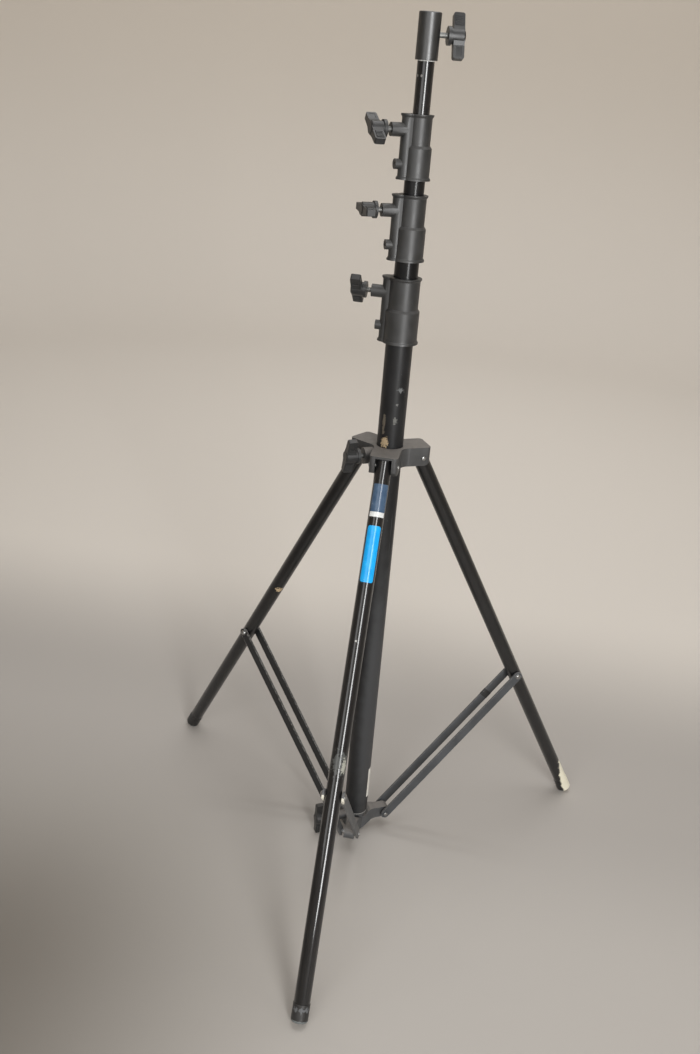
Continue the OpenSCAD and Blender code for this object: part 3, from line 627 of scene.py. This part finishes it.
def tubeSheet(name, radius, label, toWorld):
    columns, rows = labelSheet["columns"], labelSheet["rows"]
    start, end = (math.radians(t) * radius for t in label["turns"])
    low, high = (v * mm for v in label["along"])
    corner = label["corner"] * mm
    mesh = bmesh.new()
    layers = []
    for level in (radius + labelSheet["lift"] * mm, radius - labelSheet["sink"] * mm):
        grid = []
        for i in range(columns + 1):
            u = start + (end - start) * (1 - math.cos(math.pi * i / columns)) / 2
            edge = min(u - start, end - u)
            inset = corner - math.sqrt(max(0, corner ** 2 - max(0, corner - edge) ** 2))
            length = high - low - 2 * inset
            grid.append([mesh.verts.new((level * math.cos(u / radius), level * math.sin(u / radius),
                                         low + inset + length * j / rows)) for j in range(rows + 1)])
        layers.append(grid)
    outer, inner = layers
    for i in range(columns):
        for j in range(rows):
            mesh.faces.new((outer[i][j], outer[i + 1][j], outer[i + 1][j + 1], outer[i][j + 1]))
            mesh.faces.new((inner[i][j], inner[i][j + 1], inner[i + 1][j + 1], inner[i + 1][j]))
        mesh.faces.new((outer[i][0], inner[i][0], inner[i + 1][0], outer[i + 1][0]))
        mesh.faces.new((outer[i][rows], outer[i + 1][rows], inner[i + 1][rows], inner[i][rows]))
    for j in range(rows):
        mesh.faces.new((outer[0][j], outer[0][j + 1], inner[0][j + 1], inner[0][j]))
        mesh.faces.new((outer[columns][j], inner[columns][j], inner[columns][j + 1], outer[columns][j + 1]))
    mesh.transform(toWorld)
    return meshData(name, mesh)


# labels: along the tube and corners in mm, turns in degrees round it
labelPaper = {"rough": (0.16, 0.28), "grain": 900, "patch": 90, "bump": 0.03,
              "scuff": (260, 0.66, (0.5, 0.5, 0.48)), "edge": (0.4 * mm, 0.3, (0.7, 0.7, 0.68))}
frontLabels = {
    "darkLabel": {"along": (-61.2, -24.9), "corner": 1.5, "turns": (-50, 72),
                  "colour": ((0.045, 0.085, 0.15), (0.075, 0.125, 0.20))},
    "paleBand": {"along": (-67.6, -61.2), "corner": 0.6, "turns": (-50, 72),
                 "colour": ((0.66, 0.68, 0.68), (0.80, 0.81, 0.80))},
    "blueLabel": {"along": (-152.4, -79.2), "corner": 3.5, "turns": (-45, 58),
                  "colour": ((0.005, 0.34, 0.80), (0.012, 0.42, 0.90))},
}
columnSticker = {"along": (66, 119), "corner": 1.2, "turns": (335, 390), "rough": (0.5, 0.65),
                 "colour": ((0.74, 0.72, 0.66), (0.86, 0.85, 0.80))}

for name, label in frontLabels.items():
    sheet = tubeSheet(name, legRadius, label, frontFrame.inverted())
    paper = makeFinish(name + "Paper", dict(labelPaper, colour=label["colour"]), frontFrame)
    addPiece(name, sheet, paper, "front_leg")
sheet = tubeSheet("columnSticker", columnRadius, columnSticker, Matrix())
paper = makeFinish("stickerPaper", dict(labelPaper, colour=columnSticker["colour"],
                                        rough=columnSticker["rough"]))
addPiece("columnSticker", sheet, paper, "base")
print("stage: labels")


# geometry node trees: one input per size, ending in real geometry with its material
def newTree(name, inputs):
    tree = bpy.data.node_groups.new(name, "GeometryNodeTree")
    tree.interface.new_socket("Geometry", in_out="OUTPUT", socket_type="NodeSocketGeometry")
    for label, kind in inputs.items():
        tree.interface.new_socket(label, in_out="INPUT", socket_type="NodeSocket" + kind)
    return tree, tree.nodes.new("NodeGroupInput").outputs, tree.nodes.new("NodeGroupOutput").inputs


def addNode(tree, kind, **values):
    node = tree.nodes.new("GeometryNode" + kind)
    for label, value in values.items():
        feed(tree, node.inputs[label.replace("_", " ")], value)
    return node.outputs[0]


def finishTree(tree, source, drain, geometry, smooth):
    real = addNode(tree, "RealizeInstances", Geometry=geometry)
    shade = addNode(tree, "SetShadeSmooth", Geometry=real, Shade_Smooth=smooth)
    paint = addNode(tree, "SetMaterial", Geometry=shade, Material=source["Material"])
    feed(tree, drain["Geometry"], paint)


# thread on the length of a clamp screw that shows between its boss and its knob; sizes in mm
screwThreads = {
    "radius": 2.9, "pitch": 1.0, "ridge": 0.25, "bossClear": 0.5, "knobClear": 0.25,
    "turnPoints": 20, "ridgeSides": 4,
    "gaps": {"base": 6, "riser_one": 6, "riser_two": 6, "socket": 7, "crown": 5.5, "lower": 6},
}


def makeThreadTree(thread):
    tree, source, drain = newTree("screwThread", {"Radius": "Float", "Pitch": "Float", "Length": "Float",
                                                  "Ridge": "Float", "Material": "Material"})
    turns = addMath(tree, "DIVIDE", source["Length"], source["Pitch"])
    path = addNode(tree, "CurveSpiral", Resolution=thread["turnPoints"], Rotations=turns,
                   Start_Radius=source["Radius"], End_Radius=source["Radius"], Height=source["Length"])
    ridge = addNode(tree, "CurvePrimitiveCircle", Resolution=thread["ridgeSides"], Radius=source["Ridge"])
    tube = addNode(tree, "CurveToMesh", Curve=path, Profile_Curve=ridge, Fill_Caps=True)
    finishTree(tree, source, drain, tube, False)
    return tree


# domed ends in pairs, one at each end of a pin, repeated round the mast
domeShape = {"segments": 24, "rings": 12}


def makeDomeTree(shape):
    tree, source, drain = newTree("pinDomes", {"Ring": "Float", "Height": "Float", "Span": "Float",
                                               "Radius": "Float", "Rise": "Float", "Count": "Int",
                                               "Turn": "Float", "Material": "Material"})
    dome = addNode(tree, "MeshUVSphere", Segments=shape["segments"], Rings=shape["rings"], Radius=1)
    size = joinVector(tree, source["Radius"], source["Rise"], source["Radius"])
    halfBack = addMath(tree, "MULTIPLY", source["Span"], -0.5)
    first = joinVector(tree, source["Ring"], halfBack, source["Height"])
    step = joinVector(tree, y=source["Span"])
    ends = addNode(tree, "MeshLine", Count=2, Start_Location=first, Offset=step)
    pair = addNode(tree, "InstanceOnPoints", Points=ends, Instance=dome, Scale=size)
    middle = addNode(tree, "MeshLine", Count=source["Count"], Offset=(0, 0, 0))
    share = addMath(tree, "DIVIDE", 2 * math.pi, source["Count"])
    spun = addMath(tree, "MULTIPLY", addNode(tree, "InputIndex"), share)
    turn = joinVector(tree, z=addMath(tree, "ADD", spun, source["Turn"]))
    allRound = addNode(tree, "InstanceOnPoints", Points=middle, Instance=pair, Rotation=turn)
    finishTree(tree, source, drain, allRound, True)
    return tree


def growPiece(name, tree, values, toWorld, body):
    host = bpy.data.objects.new(name + "Host", bpy.data.meshes.new(name + "Host"))
    scene.collection.objects.link(host)
    grow = host.modifiers.new("grow", "NODES")
    grow.node_group = tree
    for socket in tree.interface.items_tree:
        if socket.in_out == "INPUT":
            grow[socket.identifier] = values[socket.name]
    grown = host.evaluated_get(bpy.context.evaluated_depsgraph_get())
    mesh = bpy.data.meshes.new_from_object(grown)
    bpy.data.objects.remove(host)
    mesh.name = name
    mesh.transform(toWorld)
    piece = addPiece(name, mesh, values["Material"], body)


# how far from the mast's axis a knob's inner face lies, along its screw
def knobFace(knob, axis):
    return min(Vector(v.co).dot(axis) for v in nodes[knob].data.vertices)


threadTree = makeThreadTree(screwThreads)
domeTree = makeDomeTree(domeShape)
zinc = slotMaterials["bright_steel"]

for key, gap in screwThreads["gaps"].items():
    turnJoint = joints[key + "_knob_turn"]
    axis = Vector(turnJoint["axis"])
    bossFace = knobFace(key + "_knob", axis) - gap * mm
    start = Vector(turnJoint["pos_m"]) + axis * (bossFace + screwThreads["bossClear"] * mm)
    length = gap - screwThreads["bossClear"] - screwThreads["knobClear"]
    values = {"Radius": screwThreads["radius"] * mm, "Pitch": screwThreads["pitch"] * mm,
              "Length": length * mm, "Ridge": screwThreads["ridge"] * mm, "Material": threadZinc}
    place = Matrix.Translation(start) @ axis.to_track_quat("Z", "Y").to_matrix().to_4x4()
    body = "lower_screw" if key == "lower" else key + "_knob"
    growPiece(key + "ScrewThread", threadTree, values, place, body)

# pin ends at the three legs, which stand at the turn and every third of a round from it;
# only the front leg's pin lies further to the front than the front share of the ring
pinDomes = {"radius": 2.95, "rise": 1.0, "turn": 30, "frontShare": 0.8}


def pinSpan(node, ring):
    front = -pinDomes["frontShare"] * ring
    return 2 * max(abs(v.co.x) for v in nodes[node].data.vertices if v.co.y < front)


for name, node, joint, body in (("crownPinDomes", "hinge_pins", "front_leg_hinge", "crown"),
                                ("lowerPinDomes", "lower_pins", "front_brace_hinge", "base")):
    place = Vector(joints[joint]["pos_m"])
    ring = place.xy.length
    values = {"Ring": ring, "Height": place.z, "Span": pinSpan(node, ring),
              "Radius": pinDomes["radius"] * mm, "Rise": pinDomes["rise"] * mm, "Count": len(legSides),
              "Turn": math.radians(pinDomes["turn"]), "Material": zinc}
    growPiece(name, domeTree, values, Matrix(), body)

rivetDomes = {"radius": 3.2, "rise": 0.9}
for side in legSides:
    middle = boxMiddle(side + "_rivets")
    values = {"Ring": middle.xy.length, "Height": middle.z, "Span": boxWidth("front_rivets"),
              "Radius": rivetDomes["radius"] * mm, "Rise": rivetDomes["rise"] * mm, "Count": 1,
              "Turn": math.atan2(middle.y, middle.x), "Material": zinc}
    growPiece(side + "RivetDomes", domeTree, values, Matrix(), side + "_brace")
print("stage: screw threads and pin ends")


# a turn of tape round the far brace bar of the right leg: share of the way up it, sizes in mm
barTape = {"share": 0.815, "length": 12, "rows": 8, "proud": 0.5, "corner": 1.2, "cornerSteps": 6,
           "wave": 0.1, "waveTurn": 2.1}
tapeLook = dict(labelPaper, colour=((0.02, 0.021, 0.022), (0.04, 0.04, 0.04)), rough=(0.3, 0.5))


def roundedOutline(middle, half, corner, steps):
    outline = []
    for quarter, (sideX, sideY) in enumerate(((1, 1), (-1, 1), (-1, -1), (1, -1))):
        for i in range(steps + 1):
            angle = math.radians(90 * (quarter + i / steps))
            outline.append((middle.x + sideX * (half.x - corner) + corner * math.cos(angle),
                            middle.y + sideY * (half.y - corner) + corner * math.sin(angle)))
    return outline


def tapeRing(name, node, joint, rivets, tape):
    low = Vector(joints[joint]["pos_m"])
    bar = boxMiddle(rivets) - low
    along = bar.normalized()
    across = Vector(joints[joint]["axis"]).normalized()
    wide = along.cross(across)
    sizes = [[(Vector(v.co) - low).dot(d) for v in nodes[node].data.vertices] for d in (across, wide)]
    middle = Vector([(min(s) + max(s)) / 2 for s in sizes])
    half = Vector([(max(s) - min(s)) / 2 + tape["proud"] * mm for s in sizes])
    outline = roundedOutline(middle, half, tape["corner"] * mm, tape["cornerSteps"])
    rows = tape["rows"]
    mesh = bmesh.new()
    rings = []
    for j in range(rows + 1):
        level = bar.length * tape["share"] + tape["length"] * mm * (j / rows - 0.5)
        wave = tape["wave"] * mm * math.sin(j * tape["waveTurn"])
        center = low + along * level + across * wave
        rings.append([mesh.verts.new(center + across * x + wide * y) for x, y in outline])
    count = len(outline)
    for j in range(rows):
        for i in range(count):
            k = (i + 1) % count
            mesh.faces.new((rings[j][i], rings[j][k], rings[j + 1][k], rings[j + 1][i]))
    mesh.faces.new(list(reversed(rings[0])))
    mesh.faces.new(rings[rows])
    return meshData(name, mesh)


tape = tapeRing("barTape", "right_bar_left", "right_brace_hinge", "right_rivets", barTape)
addPiece("barTape", tape, makeFinish("tapeFinish", tapeLook), "right_brace")
print("stage: tape")


# plain paper sweep: a floor disc that curves up into a round backdrop; sizes and places in metres
paperSweep = {
    "floor": 3.0, "curve": 1.4, "top": 6.0, "sides": 96, "curveSteps": 12, "rough": 0.9,
    # paper colours: near and mid are painted shade round the feet, left is a painted shadow, far and wall
    # the paler paper further out
    "near": (0.53, 0.50, 0.464), "mid": (0.46, 0.432, 0.402), "far": (0.77, 0.722, 0.66),
    "wall": (0.635, 0.58, 0.51), "left": (0.20, 0.18, 0.155),
    "midByY": (-0.2, 0.12), "farByY": (0.3, 0.85), "farByRadius": (1.5, 2.9),
    "leftShadeByX": (0.1, -0.45), "leftShadeByY": (0.2, -0.4),
}


# paper colour, painted light and shade on one paper: painted shade greyer between the feet and a painted
# shadow darker at the left of them, paler further out and on the wall;
# clear from outside, so that a camera further away than the wall still sees the stand
def makePaper(sweep):
    paper = bpy.data.materials.new("paperSweepFinish")
    paper.use_nodes = True
    paper.use_transparent_shadow = False
    tree = paper.node_tree
    shader = tree.nodes["Principled BSDF"]
    place = tree.nodes.new("ShaderNodeTexCoord").outputs["Object"]
    split = splitVector(tree, place)
    reach = addVectorMath(tree, "LENGTH", place)["Value"]
    # painted shadow: the paper darker at the left of the feet
    left = addMath(tree, "MULTIPLY", addRamp(tree, split["X"], *sweep["leftShadeByX"]),
                   addRamp(tree, split["Y"], *sweep["leftShadeByY"]))
    layers = (
        (addRamp(tree, split["Y"], *sweep["midByY"]), "mid"),
        (addRamp(tree, split["Y"], *sweep["farByY"]), "far"),
        (left, "left"),
        (addRamp(tree, reach, *sweep["farByRadius"]), "far"),
        (addRamp(tree, split["Z"], 0, sweep["curve"]), "wall"),
    )
    colour = rgba(sweep["near"])
    for mask, name in layers:
        colour = mixColour(tree, mask, colour, rgba(sweep[name]))
    feed(tree, shader.inputs["Base Color"], colour)
    shader.inputs["Roughness"].default_value = sweep["rough"]
    mix = tree.nodes.new("ShaderNodeMixShader")
    feed(tree, mix.inputs[0], tree.nodes.new("ShaderNodeNewGeometry").outputs["Backfacing"])
    feed(tree, mix.inputs[1], shader.outputs[0])
    feed(tree, mix.inputs[2], tree.nodes.new("ShaderNodeBsdfTransparent").outputs[0])
    feed(tree, tree.nodes["Material Output"].inputs["Surface"], mix.outputs[0])
    return paper


def makeStage(sweep):
    count, steps = sweep["sides"], sweep["curveSteps"]
    profile = [(sweep["floor"], 0)]
    for i in range(1, steps + 1):
        angle = math.pi / 2 * i / steps
        profile.append((sweep["floor"] + sweep["curve"] * math.sin(angle),
                        sweep["curve"] * (1 - math.cos(angle))))
    profile.append((sweep["floor"] + sweep["curve"], sweep["top"]))
    turns = [2 * math.pi * i / count for i in range(count)]
    verts = [(r * math.cos(turn), r * math.sin(turn), z) for r, z in profile for turn in turns]
    faces = [tuple(range(count))]
    for row in range(0, (len(profile) - 1) * count, count):
        for i in range(count):
            k = (i + 1) % count
            faces.append((row + i, row + count + i, row + count + k, row + k))
    mesh = bpy.data.meshes.new("paperSweep")
    mesh.from_pydata(verts, [], faces)
    for face in mesh.polygons:
        face.use_smooth = True
    mesh.materials.append(makePaper(sweep))
    floor = bpy.data.objects.new("paperSweep", mesh)
    scene.collection.objects.link(floor)


makeStage(paperSweep)


# soft lamps: a tall strip right of the camera, a broad fill on the left, one overhead, and two that
# wash the paper behind the stand and behind the camera
lamps = {
    "tallStrip": {"place": (1.05, -2.1, 1.4), "target": (0, 0, 1.4), "size": (0.55, 2.0), "power": 27,
                  "spread": 120},
    "leftFill": {"place": (-0.65, -2.4, 1.5), "target": (0, 0, 0.7), "size": (1.4, 1.6), "power": 15},
    "overhead": {"place": (0.3, 0.5, 3.2), "target": (0, 0.2, 0), "size": (2.2, 2.2), "power": 34},
    "backWash": {"place": (0, 1.6, 3.2), "target": (0, 4.2, 1.0), "size": (2.6, 0.8), "power": 34},
    "frontWash": {"place": (0, -1.6, 3.2), "target": (0, -4.2, 0.8), "size": (2.6, 0.8), "power": 7},
}
worldLight = {"colour": (1, 0.99, 0.98), "strength": 0.16}


def addLamp(name, lamp):
    data = bpy.data.lights.new(name, "AREA")
    data.shape = "RECTANGLE"
    data.size, data.size_y = lamp["size"]
    data.energy = lamp["power"]
    if "spread" in lamp:
        data.spread = math.radians(lamp["spread"])
    light = bpy.data.objects.new(name, data)
    light.location = lamp["place"]
    aim = Vector(lamp["target"]) - Vector(lamp["place"])
    light.rotation_euler = aim.to_track_quat("-Z", "Y").to_euler()
    light.visible_camera = False
    scene.collection.objects.link(light)


for name, lamp in lamps.items():
    addLamp(name, lamp)
world = bpy.data.worlds.new("studioWorld")
scene.world = world
world.use_nodes = True
background = world.node_tree.nodes["Background"]
background.inputs["Color"].default_value = rgba(worldLight["colour"])
background.inputs["Strength"].default_value = worldLight["strength"]
print("stage: floor and light")
